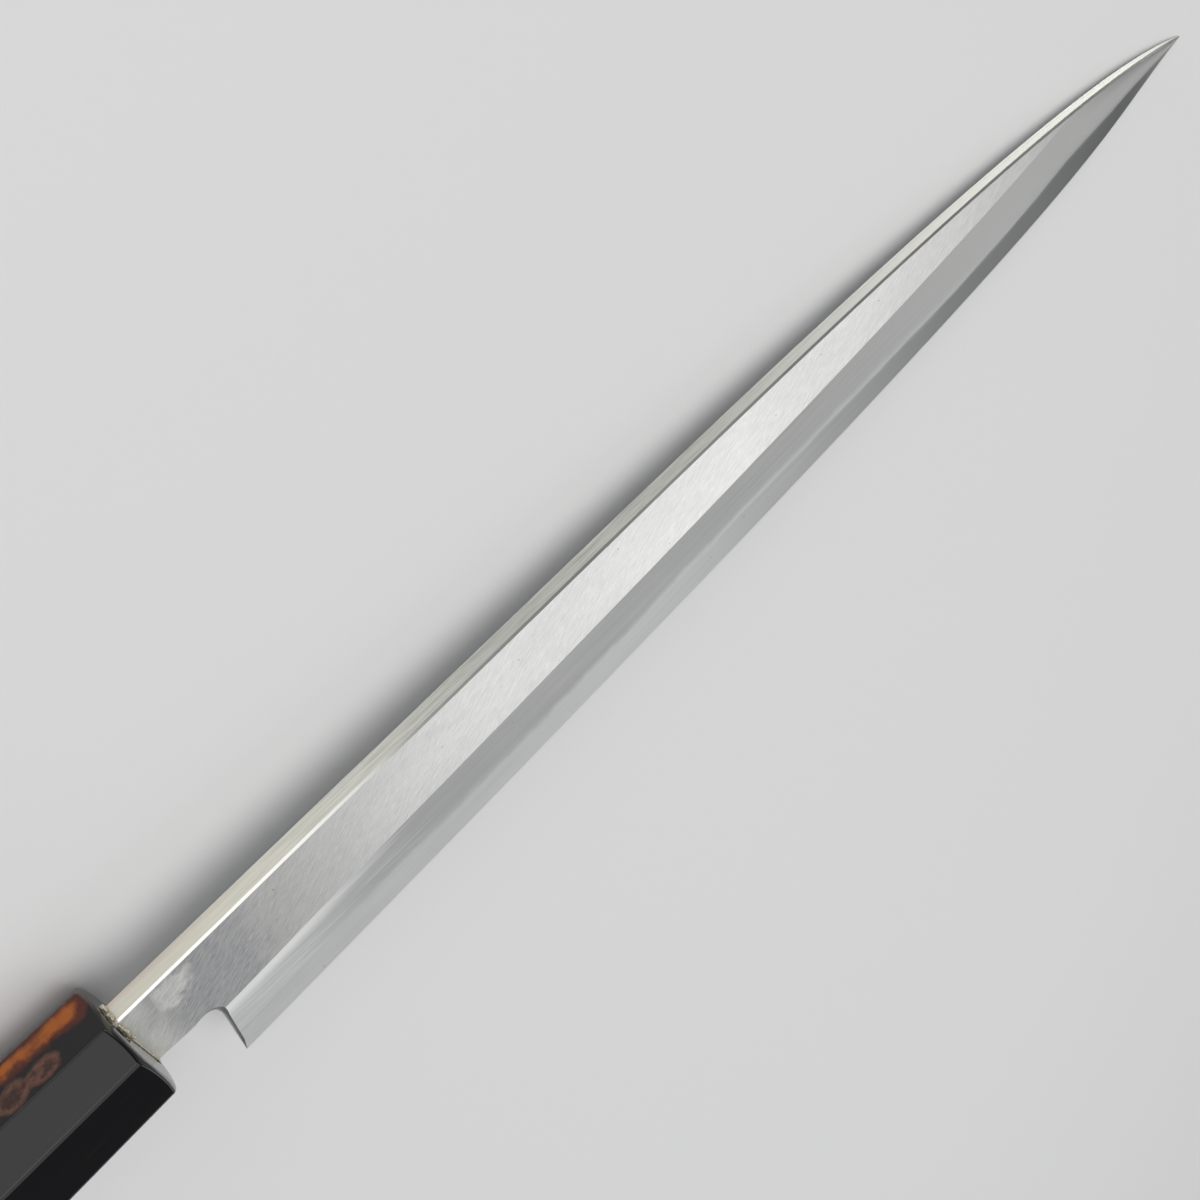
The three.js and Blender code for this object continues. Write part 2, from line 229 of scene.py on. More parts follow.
EDGE_RISE = TIP_Y - HEEL_Y
SPINE_CURVE = bezier(
    (TIP_X - SPINE_FALL, SPINE_Y),
    (TIP_X - SPINE_FALL * SPINE_PULLS[0], SPINE_Y),
    (TIP_X - SPINE_FALL * SPINE_PULLS[1], TIP_Y + TIP_DROP * SPINE_PULLS[2]),
    (TIP_X, TIP_Y + TIP_LAND / 2),
)
EDGE_CURVE = bezier(
    (HEEL_X, HEEL_Y),
    (HEEL_X + EDGE_LENGTH * EDGE_PULLS[0], HEEL_Y + EDGE_RISE * EDGE_PULLS[1]),
    (TIP_X - EDGE_LENGTH * EDGE_PULLS[2], TIP_Y - EDGE_RISE * EDGE_PULLS[3]),
    (TIP_X, TIP_Y - TIP_LAND / 2),
)
HEEL_SLOPE = EDGE_RISE * EDGE_PULLS[1] / (EDGE_LENGTH * EDGE_PULLS[0])


def smooth(x, low, high):
    """Soft step from 0 to 1, as x goes from low to high."""
    share = np.clip((x - low) / (high - low), 0, 1)
    return share * share * (3 - 2 * share)


def spine_at(x):
    return np.interp(x, *SPINE_CURVE)


def edge_at(x):
    """The edge, which runs on straight under the notch."""
    straight = HEEL_Y + (x - HEEL_X) * HEEL_SLOPE
    return np.where(x < HEEL_X, straight, np.interp(x, *EDGE_CURVE)) + EDGE_TRIM


def thickness_at(x, y):
    plane = SPINE_THICKNESS - LENGTH_TAPER * x - FACE_TAPER * (SPINE_Y - y)
    return plane * (1 - np.exp(-(spine_at(x) - edge_at(x)) / TIP_THINNING))


def ease_at(x):
    height = spine_at(x) - edge_at(x)
    return np.minimum(np.minimum(SPINE_EASE, height / 4), thickness_at(x, spine_at(x)) / 4)


def ridge_at(x):
    growth = smooth(x, HEEL_X, HEEL_X + HEEL_BEVEL_RUN)
    width = HEEL_BEVEL_WIDTH + (BEVEL_WIDTH - HEEL_BEVEL_WIDTH) * growth
    return np.minimum(edge_at(x) + width, spine_at(x) - ease_at(x) - RIDGE_LAND)


def weld_at(x):
    """Z of the weld between the two layers."""
    bevel = thickness_at(x, ridge_at(x)) - EDGE_LAND
    ripple = sum(np.sin(x / length + phase) * share for length, phase, share in RIPPLE_WAVES)
    wander = 1 + WELD_WANDER * np.sin(2 * math.pi * x / WELD_WAVE) + WELD_RIPPLE * ripple
    return BACK_Z + EDGE_LAND + STEEL_SHARE * bevel * wander


def bevel_y(x, z):
    """Y at which the bevel reaches a height in Z."""
    edge, ridge = edge_at(x), ridge_at(x)
    low, high = BACK_Z + EDGE_LAND, BACK_Z + thickness_at(x, ridge)
    return edge + (ridge - edge) * (z - low) / (high - low)


def face_z(x, y):
    """Z of the blade's upper surface, face or bevel."""
    edge, ridge = edge_at(x), ridge_at(x)
    if y > ridge:
        return BACK_Z + thickness_at(x, y)
    share = max((y - edge) / (ridge - edge), 0)
    return BACK_Z + EDGE_LAND + (thickness_at(x, ridge) - EDGE_LAND) * share


# Meshes


class Skin:
    """Points, faces and a finish for each face, gathered into one mesh."""

    def __init__(self, finishes):
        self.finishes = finishes
        self.points = []
        self.faces = []
        self.kinds = []

    def add(self, rings, kinds, capped=None, joined=False):
        """Skins rings of equal length; kinds has a finish for each step round a ring, or is one."""
        start = len(self.points)
        count = len(rings[0])
        kinds = [kinds] * count if isinstance(kinds, str) else kinds
        for ring in rings:
            self.points.extend(ring)
        for i in range(len(rings) if joined else len(rings) - 1):
            here, there = start + i * count, start + ((i + 1) % len(rings)) * count
            for j in range(count):
                k = (j + 1) % count
                self.faces.append((here + j, here + k, there + k, there + j))
                self.kinds.append(kinds[j])
        if capped:
            self.cap(rings[0], capped)
            self.cap(rings[-1], capped)

    def cap(self, ring, kind):
        start = len(self.points)
        self.points.extend(ring)
        self.faces.append(tuple(range(start, start + len(ring))))
        self.kinds.append(kind)

    def build(self, name):
        mesh = bpy.data.meshes.new(name)
        mesh.from_pydata(to_row(self.points).tolist(), [], self.faces)
        for finish in self.finishes:
            mesh.materials.append(MATERIALS[finish])
        mesh.polygons.foreach_set("material_index", [self.finishes.index(k) for k in self.kinds])
        close(mesh, JOIN_REACH)
        piece = bpy.data.objects.new(name, mesh)
        bpy.context.scene.collection.objects.link(piece)
        return piece


def close(mesh, reach):
    """Joins points that lie within a reach, and drops the faces that this leaves without area."""
    shape = bmesh.new()
    shape.from_mesh(mesh)
    bmesh.ops.remove_doubles(shape, verts=shape.verts, dist=reach)
    bmesh.ops.dissolve_degenerate(shape, edges=shape.edges, dist=NO_LENGTH)
    bmesh.ops.recalc_face_normals(shape, faces=shape.faces)
    shape.to_mesh(mesh)
    shape.free()


def crease(piece, degrees):
    """Smooth shading, but for edges that turn by more than an angle or part two finishes."""
    shape = bmesh.new()
    shape.from_mesh(piece.data)
    for face in shape.faces:
        face.smooth = True
    for edge in shape.edges:
        parted = len({face.material_index for face in edge.link_faces}) > 1
        gentle = len(edge.link_faces) == 2 and edge.calc_face_angle(0) < math.radians(degrees)
        edge.smooth = gentle and not parted
    shape.to_mesh(piece.data)
    shape.free()


def place(piece, node):
    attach(piece, "root")
    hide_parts(node)


# Materials


class Outputs:
    """A shader node whose outputs are had by name."""

    def __init__(self, node):
        self.node = node

    def __getitem__(self, name):
        return self.node.outputs[name]


class Paint:
    """A node material with the shader's own values set on its sockets."""

    GRAIN_ROUGHNESS = 0.6

    def __init__(self, name, **values):
        self.material = bpy.data.materials.new(name)
        self.material.use_nodes = True
        self.tree = self.material.node_tree
        self.shader = self.tree.nodes["Principled BSDF"]
        self.set(**values)
        mapping = self.node("Mapping", Vector=self.node("TexCoord")["Object"])
        mapping.node.inputs["Location"].default_value = -(TURN.transposed() @ PLACE)
        mapping.node.inputs["Rotation"].default_value = (0, -LEAN, 0)
        mapping.node.inputs["Scale"].default_value = [1 / MILLIMETRE] * 3
        self.knife = mapping["Vector"]

    def set(self, **values):
        for name, value in values.items():
            self.feed(self.shader.inputs[name.replace("_", " ")], value)

    def feed(self, socket, value):
        if isinstance(value, bpy.types.NodeSocket):
            self.tree.links.new(value, socket)
        elif isinstance(value, tuple) and socket.type == "RGBA":
            socket.default_value = (*value, 1)
        else:
            socket.default_value = value

    def node(self, kind, settings=None, **inputs):
        node = self.tree.nodes.new("ShaderNode" + kind)
        for name, value in (settings or {}).items():
            setattr(node, name, value)
        for name, value in inputs.items():
            self.feed(node.inputs[name.replace("_", " ")], value)
        return Outputs(node)

    def math(self, operation, *values, clamp=False):
        node = self.tree.nodes.new("ShaderNodeMath")
        node.operation = operation
        node.use_clamp = clamp
        for socket, value in zip(node.inputs, values):
            self.feed(socket, value)
        return node.outputs[0]

    def times(self, *values):
        return self.math("MULTIPLY", *values)

    def mix(self, share, low, high):
        node = self.tree.nodes.new("ShaderNodeMix")
        node.data_type = "RGBA"
        self.feed(node.inputs[0], share)
        self.feed(node.inputs[6], low)
        self.feed(node.inputs[7], high)
        return node.outputs[2]

    def span(self, value, low, high, to_low=0.0, to_high=1.0):
        """Soft step from one number to another, as a value goes from low to high."""
        node = self.node(
            "MapRange", {"interpolation_type": "SMOOTHSTEP"},
            Value=value, From_Min=low, From_Max=high, To_Min=to_low, To_Max=to_high,
        )
        return node["Result"]

    def grain(self, along, across, angle=0.0, detail=3.0, shift=0.0, depth=None):
        """Noise drawn out along a direction of the blade's face; sizes are its lengths in millimetres."""
        stretched = self.node("Mapping", {"vector_type": "TEXTURE"}, Vector=self.knife)
        stretched.node.inputs["Location"].default_value = (shift, shift, shift)
        stretched.node.inputs["Rotation"].default_value = (0, 0, angle)
        stretched.node.inputs["Scale"].default_value = (along, across, depth or across)
        noise = self.node(
            "TexNoise", Vector=stretched["Vector"],
            Scale=1.0, Detail=detail, Roughness=self.GRAIN_ROUGHNESS,
        )
        return noise["Fac"]

    def patchy(self, size, shift):
        """Noise of one size each way, from about -0.5 to 0.5."""
        return self.math("SUBTRACT", self.grain(size, size, detail=4.0, shift=shift), 0.5)

    def axis(self, letter):
        return self.node("SeparateXYZ", Vector=self.knife)[letter]

    def ramp(self, start, end, share=1.0):
        """Share that sets in along the blade, from none at the start to all of it at the end."""
        return self.span(self.axis("X"), start, end, 0.0, share)

    def rise(self):
        """Share of the way up a layer's part of the bevel."""
        return self.node("SeparateXYZ", Vector=self.node("UVMap", {"uv_map": "rise"})["UV"])["X"]

    def bump(self, height, distance):
        """Height from 0 to 1, over a distance in millimetres."""
        node = self.node("Bump", Height=height, Distance=distance * MILLIMETRE, Strength=1.0)
        self.set(Normal=node["Normal"])


def shaded(colour, share):
    """A darker tone of a colour."""
    return tuple(share * c for c in colour)


MATERIALS = {}

# Steel: fine brush lines, and broad ones that are BROAD times as large; mist and pits darken it
BRUSH_ANGLE = math.radians(25)
BROAD = 3
FINE_SHARE, BROAD_SHARE = 0.8, 0.2
LINE_MIDDLE, LINE_REACH = 0.45, 0.4
MIST_SPAN = (0.3, 0.7)
MIST_SHADE = 0.82
PIT_SCALE = 0.3
PIT_CHOICE = (0.74, 0.76)
PIT_RIM = (0.075, 0.04)
PIT_SHARE, PIT_SHADE = 0.6, 0.3
ROUGH_CHANGE = 0.1


def steel(name, dark, light, rough, lines, blotch, turn, relief):
    """Brushed steel: lines is (length, width, angle, contrast), blotch is (size, contrast)."""
    paint = Paint(name, Metallic=1.0, Anisotropic=turn)
    length, width, angle, contrast = lines
    size, mist = blotch
    fine = paint.grain(length, width, angle, detail=3.0)
    broad = paint.grain(length * BROAD, width * BROAD, angle, detail=2.0, shift=31.0)
    cloud = paint.grain(size * 2, size, detail=3.0, shift=57.0)
    line = paint.math("ADD", paint.times(fine, FINE_SHARE), paint.times(broad, BROAD_SHARE))
    tone = paint.span(line, LINE_MIDDLE - LINE_REACH / contrast, LINE_MIDDLE + LINE_REACH / contrast)
    misty = paint.span(cloud, *MIST_SPAN)
    cells = paint.node("TexVoronoi", {"feature": "F1"}, Vector=paint.knife, Scale=PIT_SCALE)
    chosen = paint.span(paint.node("SeparateColor", Color=cells["Color"])["Red"], *PIT_CHOICE)
    pit = paint.times(paint.span(cells["Distance"], *PIT_RIM), chosen)
    shade = paint.mix(tone, dark, light)
    shade = paint.mix(paint.times(misty, mist), shade, shaded(dark, MIST_SHADE))
    paint.shade = paint.mix(paint.times(pit, PIT_SHARE), shade, shaded(dark, PIT_SHADE))
    uneven = paint.math("SUBTRACT", misty, tone)
    paint.rough = paint.math("MULTIPLY_ADD", uneven, ROUGH_CHANGE * rough, rough)
    paint.set(Base_Color=paint.shade, Roughness=paint.rough)
    paint.bump(paint.grain(length, width * 1.5, angle, detail=1.0, shift=5.0), relief)
    tangent = paint.node("Tangent", {"direction_type": "UV_MAP", "uv_map": "brush"})
    paint.set(Tangent=tangent["Tangent"])
    MATERIALS[name] = paint.material
    return paint


def veil(paint, share, tint, rough):
    """Lays another tone and roughness over a part of a steel."""
    paint.shade = paint.mix(share, paint.shade, tint)
    change = paint.times(paint.math("SUBTRACT", rough, paint.rough), share)
    paint.rough = paint.math("ADD", paint.rough, change)
    paint.set(Base_Color=paint.shade, Roughness=paint.rough)


def spine_steel():
    """Satin spine: a warm painted sheen by the ferrule, where it is also a little duller, a painted warm
    reflection at its lower border, and a painted highlight that brightens it to the tip.
    """
    paint = steel(
        "spine", (0.67, 0.67, 0.625), (0.93, 0.93, 0.87), rough=0.55,
        lines=(9.0, 0.24, 0.0, 3.0), blotch=(14.0, 0.2), turn=0.9, relief=0.006,
    )
    # Painted warm sheen that lightens the spine towards the ferrule.
    veil(paint, paint.ramp(80.0, 5.0, 0.7), (0.92, 0.89, 0.76), rough=0.55)
    veil(paint, paint.ramp(32.0, 6.0, 0.35), (0.60, 0.585, 0.50), rough=0.55)
    # Painted warm reflection along the spine's lower border near the ferrule.
    painted_warm_reflection = paint.times(paint.span(paint.axis("Z"), -0.4, -2.3), paint.ramp(40.0, 8.0, 0.5))
    veil(paint, painted_warm_reflection, (0.66, 0.52, 0.45), rough=0.55)
    # Painted highlight that brightens the spine towards the tip.
    veil(paint, paint.ramp(115.0, 190.0, 0.85), (0.98, 0.98, 0.92), rough=0.55)


def face_steel():
    """Flat face with slanting brush lines, painted shade by the heel, a bare patch by the ferrule, and
    painted shade towards the tip.
    """
    paint = steel(
        "face", (0.61, 0.61, 0.595), (0.73, 0.73, 0.71), rough=0.34,
        lines=(2.2, 0.16, BRUSH_ANGLE, 2.2), blotch=(16.0, 0.1), turn=0.5, relief=0.004,
    )
    along, up = paint.axis("X"), paint.axis("Y")
    uneven, grit = paint.patchy(4.0, 71.0), paint.patchy(1.3, 13.0)

    stroke = paint.span(paint.grain(2.8, 0.2, BRUSH_ANGLE, detail=3.0, shift=47.0), 0.52, 0.40)
    strokes = paint.times(stroke, paint.span(along, 60.0, 20.0, 0.22, 0.4))
    veil(paint, strokes, (0.44, 0.445, 0.445), rough=0.34)

    # Painted shade by the heel, broken up by the brush strokes.
    painted_heel_shade = paint.span(paint.math("MULTIPLY_ADD", uneven, 14.0, along), 32.0, 19.0)
    painted_heel_shade = paint.times(painted_heel_shade, paint.span(along, 4.0, 11.0, 0.3, 1.0))
    painted_heel_shade = paint.times(painted_heel_shade, paint.math("MULTIPLY_ADD", stroke, 0.35, 0.3))
    veil(paint, painted_heel_shade, (0.35, 0.36, 0.395), rough=0.34)

    bare = paint.span(paint.math("MULTIPLY_ADD", uneven, 9.0, along), 7.5, 1.5)
    stain_x = paint.math("POWER", paint.math("MULTIPLY_ADD", along, 0.23, -2.3), 2.0)
    stain_y = paint.math("POWER", paint.math("MULTIPLY_ADD", up, 0.25, -0.8), 2.0)
    stain = paint.math("MULTIPLY_ADD", uneven, 3.2, paint.math("ADD", stain_x, stain_y))
    stain = paint.span(paint.math("MULTIPLY_ADD", grit, 1.6, stain), 1.2, 0.4)
    pale = paint.math("MAXIMUM", bare, stain)
    pale = paint.math("MULTIPLY", pale, paint.math("MULTIPLY_ADD", grit, 1.4, 0.7), clamp=True)
    streaks = paint.grain(1.7, 0.24, BRUSH_ANGLE, detail=4.0, shift=91.0)
    pale = paint.times(pale, paint.span(streaks, 0.36, 0.62, 0.5, 1.0))
    veil(paint, pale, (0.88, 0.88, 0.82), rough=0.54)

    scratches = paint.grain(2.4, 0.17, BRUSH_ANGLE + 0.25, detail=2.0, shift=63.0)
    veil(paint, paint.span(scratches, 0.64, 0.69, 0.0, 0.6), (0.92, 0.92, 0.90), rough=0.34)
    # Painted shade that darkens the face towards the tip.
    veil(paint, paint.span(along, 240.0, 262.0, 0.0, 0.6), (0.34, 0.345, 0.35), rough=0.34)


def chamfer_steel():
    """Eased border of the spine: a painted highlight at the heel, and a painted dark band further on."""
    paint = steel(
        "chamfer", (0.43, 0.43, 0.41), (0.54, 0.54, 0.52), rough=0.33,
        lines=(26.0, 0.3, 0.0, 2.0), blotch=(14.0, 0.1), turn=0.5, relief=0.003,
    )
    # Painted highlight along the chamfer by the heel.
    veil(paint, paint.ramp(66.0, 40.0), (0.71, 0.71, 0.685), rough=0.33)
    # Painted shade: a darker band of the chamfer from about 60 to 120 mm.
    painted_dark_band = paint.times(paint.ramp(56.0, 72.0), paint.ramp(130.0, 110.0, 0.9))
    veil(paint, painted_dark_band, (0.30, 0.30, 0.29), rough=0.33)


def bevel_steel():
    """Iron part of the bevel: a painted highlight with bright streaks and a painted ridge highlight at
    the heel, matt to the tip where painted light makes it lighter and painted shade darkens it by the
    ridge, cloudy at the weld.
    """
    paint = steel(
        "bevel", (0.40, 0.406, 0.40), (0.46, 0.466, 0.46), rough=0.45,
        lines=(34.0, 0.7, 0.03, 1.6), blotch=(18.0, 0.2), turn=0.4, relief=0.001,
    )
    # Painted highlight over the bevel by the heel.
    veil(paint, paint.ramp(62.0, 12.0, 0.75), (0.71, 0.73, 0.72), rough=0.40)
    # Brush streaks, lightened near the heel as painted highlight.
    stroke = paint.span(paint.grain(22.0, 1.1, -0.06, detail=3.0, shift=47.0), 0.45, 0.62)
    veil(paint, paint.times(stroke, paint.ramp(75.0, 25.0, 0.36)), (0.84, 0.86, 0.84), rough=0.42)
    # Painted highlight along the ridge by the heel.
    painted_crest_highlight = paint.times(paint.span(paint.rise(), 0.62, 1.0), paint.ramp(58.0, 20.0))
    veil(paint, painted_crest_highlight, (0.95, 0.96, 0.94), rough=0.36)
    # Matt towards the tip, where painted light also makes the bevel lighter.
    veil(paint, paint.ramp(140.0, 245.0, 0.9), (0.67, 0.675, 0.66), rough=0.58)
    # Painted shade by the ridge at the tip.
    tip = paint.times(paint.span(paint.rise(), 0.5, 1.0), paint.ramp(240.0, 262.0, 0.6))
    veil(paint, tip, (0.38, 0.385, 0.38), rough=0.58)
    cloudy = paint.math("MULTIPLY_ADD", paint.patchy(5.0, 83.0), 0.2, paint.rise())
    veil(paint, paint.span(cloudy, 0.22, 0.0, 0.0, 0.7), (0.60, 0.62, 0.63), rough=0.38)


def edge_steel():
    """Steel part of the bevel: painted shade dims it to the tip, and it is cloudy at the weld."""
    paint = steel(
        "edge", (0.515, 0.525, 0.515), (0.585, 0.595, 0.585), rough=0.31,
        lines=(30.0, 0.6, 0.03, 1.6), blotch=(12.0, 0.12), turn=0.3, relief=0.0004,
    )
    # Painted shade that dims the steel towards the tip.
    veil(paint, paint.ramp(150.0, 215.0, 0.85), (0.32, 0.325, 0.32), rough=0.30)
    cloudy = paint.math("MULTIPLY_ADD", paint.patchy(4.0, 89.0), 0.25, paint.rise())
    veil(paint, paint.span(cloudy, 0.78, 1.05, 0.0, 0.6), (0.54, 0.55, 0.56), rough=0.38)


def plain_steels():
    """The honed line, the back, the cut walls and the eased border of the notch, whose dark tone is a
    painted reflection.
    """
    steel(
        "honed", (0.66, 0.67, 0.68), (0.76, 0.77, 0.78), rough=0.34,
        lines=(12.0, 0.3, 0.1, 1.8), blotch=(9.0, 0.1), turn=0.3, relief=0.0004,
    )
    steel(
        "back", (0.54, 0.55, 0.56), (0.66, 0.67, 0.68), rough=0.34,
        lines=(40.0, 0.5, 0.0, 2.0), blotch=(20.0, 0.2), turn=0.6, relief=0.003,
    )
    steel(
        "wall", (0.30, 0.30, 0.30), (0.44, 0.44, 0.43), rough=0.40,
        lines=(3.0, 0.4, 0.0, 2.2), blotch=(6.0, 0.3), turn=0.2, relief=0.006,
    )
    # The eased border's dark tone is a painted reflection of dark surroundings.
    steel(
        "eased", (0.15, 0.15, 0.16), (0.24, 0.24, 0.25), rough=0.34,
        lines=(4.0, 0.4, 0.8, 2.0), blotch=(6.0, 0.2), turn=0.2, relief=0.002,
    )


HORN_BLACK, HORN_SMOKE = (0.003, 0.003, 0.004), (0.012, 0.006, 0.005)
AMBER_DEEP, AMBER = (0.075, 0.012, 0.005), (0.36, 0.094, 0.009)
EYE_DEEP, EYE_BROWN = (0.034, 0.012, 0.008), (0.135, 0.055, 0.034)

# Brown eyes in the horn: place along X, place across Z, half length and half width
HORN_EYES = [
    (-11.9, 2.3, 3.1, 2.1),
    (-18.0, 2.2, 3.3, 2.4),
    (-26.2, 3.6, 3.8, 1.3),
    (-32.0, 0.2, 2.0, 1.5),
]


def horn():
    """Polished marbled horn: black, with an amber window in the facet on the spine's side."""
    paint = Paint("horn", Roughness=0.09, Specular_IOR_Level=0.42)
    x, y, z = paint.axis("X"), paint.axis("Y"), paint.axis("Z")
    wave, cloud = paint.patchy(6.0, 11.0), paint.patchy(3.2, 29.0)
    streak = paint.grain(12.0, 0.8, detail=3.0, shift=23.0)

    border = paint.math("MULTIPLY_ADD", x, 0.09, 0.2)
    inside = paint.math("SUBTRACT", border, paint.math("MULTIPLY_ADD", wave, 5.0, z))
    lip = paint.math("MULTIPLY_ADD", wave, 6.0, x)
    window = paint.times(paint.span(inside, -0.9, 0.7), paint.span(y, 4.0, 8.5))
    window = paint.times(window, paint.span(lip, 0.2, -1.8))

    glow = paint.times(paint.span(inside, -0.4, 2.8), paint.span(z, -5.3, -3.0, 0.1, 1.0))
    glow = paint.times(glow, paint.span(lip, -1.4, -5.0))
    glow = paint.math("MULTIPLY_ADD", cloud, 1.5, glow)
    glow = paint.math("MULTIPLY_ADD", paint.math("SUBTRACT", streak, 0.5), 0.7, glow)
    amber = paint.mix(paint.span(glow, 0.1, 1.0), AMBER_DEEP, AMBER)
    black = paint.mix(paint.span(streak, 0.55, 0.85), HORN_BLACK, HORN_SMOKE)
    shade = paint.mix(window, black, amber)

    facet = paint.span(paint.math("MULTIPLY_ADD", x, 0.017, y), 10.5, 11.2)
    mottle = paint.grain(1.3, 1.0, detail=4.0, shift=37.0)
    for along, side, length, width in HORN_EYES:
        u = paint.times(paint.math("SUBTRACT", x, along), 1 / length)
        v = paint.times(paint.math("SUBTRACT", z, side), 1 / width)
        off = paint.math("ADD", paint.times(u, u), paint.times(v, v))
        off = paint.math("MULTIPLY_ADD", cloud, 1.8, off)
        eye = paint.times(paint.span(off, 1.5, 0.5), facet)
        deep = paint.math("MULTIPLY_ADD", mottle, 3.0, paint.math("SUBTRACT", off, 1.6))
        shade = paint.mix(eye, shade, paint.mix(paint.span(deep, -0.2, 0.9), EYE_DEEP, EYE_BROWN))
    paint.set(Base_Color=shade)
    paint.bump(paint.grain(30.0, 0.5, detail=2.0, shift=5.0), 0.001)
    MATERIALS["horn"] = paint.material


def wood(name, dark, light, rough):
    """Plain close-grained wood that was sanded along its length."""
    paint = Paint(name, Specular_IOR_Level=0.35)
    growth = paint.grain(90.0, 2.6, 0.02, detail=3.0, shift=17.0, depth=9.0)
    fibre = paint.grain(9.0, 0.22, detail=4.0, shift=3.0)
    pore = paint.span(paint.grain(2.6, 0.16, detail=2.0, shift=41.0), 0.66, 0.74)
    tone = paint.math("ADD", paint.times(growth, 0.6), paint.times(fibre, 0.4))
    shade = paint.mix(paint.span(tone, 0.34, 0.66), dark, light)
    shade = paint.mix(paint.times(pore, 0.45), shade, shaded(dark, 0.5))
    paint.set(Base_Color=shade, Roughness=paint.span(tone, 0.3, 0.7, rough + 0.06, rough - 0.06))
    paint.bump(paint.math("SUBTRACT", fibre, pore), 0.02)
    MATERIALS[name] = paint.material


def resin():
    """Amber resin that set in crumbs."""
    paint = Paint("resin", Roughness=0.25, Transmission_Weight=0.1, IOR=1.52)
    grains = paint.node("TexVoronoi", Vector=paint.knife, Scale=2.4)["Distance"]
    shade = paint.mix(paint.span(grains, 0.15, 0.75), (0.90, 0.86, 0.72), (0.56, 0.47, 0.30))
    paint.set(Base_Color=shade)
    paint.bump(grains, 0.06)
    MATERIALS["resin"] = paint.material


spine_steel()
face_steel()
chamfer_steel()
bevel_steel()
edge_steel()
plain_steels()
horn()
wood("grip_wood", (0.50, 0.34, 0.19), (0.70, 0.53, 0.34), rough=0.52)
wood("dowel_wood", (0.48, 0.32, 0.15), (0.66, 0.48, 0.26), rough=0.62)
resin()

# Blade


def run(start, end, count):
    """Points from start up to, and without, end."""
    share = np.linspace(0, 1, count, endpoint=False)[:, None]
    return np.array(start, float) * (1 - share) + np.array(end, float) * share


def section(x, parts):
    """Ring of a section and its finishes, from (start, steps, finish) in Y and Z."""
    points, kinds = [], []
    for i, (start, steps, finish) in enumerate(parts):
        end = parts[(i + 1) % len(parts)][0]
        points.extend(run(start, end, steps))
        kinds.extend([finish] * steps)
    return np.column_stack([np.full(len(points), x), np.array(points)]), kinds


def eased(a, corner, b):
    """Points of a rounded corner."""
    return [(1 - t) ** 2 * a + 2 * t * (1 - t) * corner + t * t * b for t in EASE_SHARES]


def iron_section(x):
    """Iron layer over the weld; before the steel starts, the whole blade."""
    welded = x >= STEEL_START
    spine, ridge, ease = spine_at(x), ridge_at(x), ease_at(x)
    low = weld_at(x) + WELD_GAP / 2 if welded else BACK_Z
    low_ease = WELD_EASE if welded else ease
    start = bevel_y(x, low) if welded else edge_at(x)
    sharpening = smooth(x, HEEL_X + RIDGE_ROUND_START, HEEL_X + RIDGE_ROUND_RUN)
    soft = RIDGE_ROUND * (1 - sharpening) + RIDGE_ROUND_END
    soft = min(soft, (ridge - start) / 3, (spine - ease - ridge) / 2)
    corner = np.array([ridge, BACK_Z + thickness_at(x, ridge)])
    below = corner + (np.array([start, low]) - corner) * soft / (ridge - start)
    above = np.array([ridge + soft / 4, BACK_Z + thickness_at(x, ridge + soft / 4)])
    turn = [(point, 1, "bevel") for point in eased(below, corner, above)[:-1]]
    return section(x, [
        ((start, low), 8, "bevel"),
        *turn,
        (above, 8, "face"),
        ((spine - ease, BACK_Z + thickness_at(x, spine - ease)), 2, "chamfer"),
        ((spine, BACK_Z + thickness_at(x, spine) - ease), 4, "spine"),
        ((spine, low + low_ease), 1, "chamfer"),
        ((spine - low_ease, low), 4, "back"),
    ])


def steel_section(x):
    """Steel layer under the weld, with the hollow back and the honed line at the edge."""
    spine, edge, ease = spine_at(x), edge_at(x), ease_at(x)
    height = spine - edge
    high = weld_at(x) - WELD_GAP / 2
    hollow_low = edge + min(EDGE_RIM, height / 4)
    hollow_high = spine - ease - min(SPINE_RIM, height / 4)
    depth = smooth(x, HOLLOW_START, HOLLOW_START + HOLLOW_RUN_IN) * (hollow_high - hollow_low) ** 2
    depth /= 8 * HOLLOW_RADIUS
    honed = min(HONED_WIDTH, height / 8)
    climb = (high - BACK_Z - EDGE_LAND) * honed / (bevel_y(x, high) - edge)
    parts = [((edge, BACK_Z), 2, "back")]
    for i in range(HOLLOW_STEPS):
        share = i / HOLLOW_STEPS
        y = hollow_low + (hollow_high - hollow_low) * share
        parts.append(((y, BACK_Z + 4 * depth * share * (1 - share)), 1, "back"))
    parts += [
        ((hollow_high, BACK_Z), 2, "back"),
        ((spine - ease, BACK_Z), 2, "chamfer"),
        ((spine, BACK_Z + ease), 2, "spine"),
        ((spine, high), 4, "back"),
        ((bevel_y(x, high), high), 6, "edge"),
        ((edge + honed, BACK_Z + EDGE_LAND + climb), 2, "honed"),
        ((edge, BACK_Z + HONED_LAND), 1, "honed"),
    ]
    return section(x, parts)


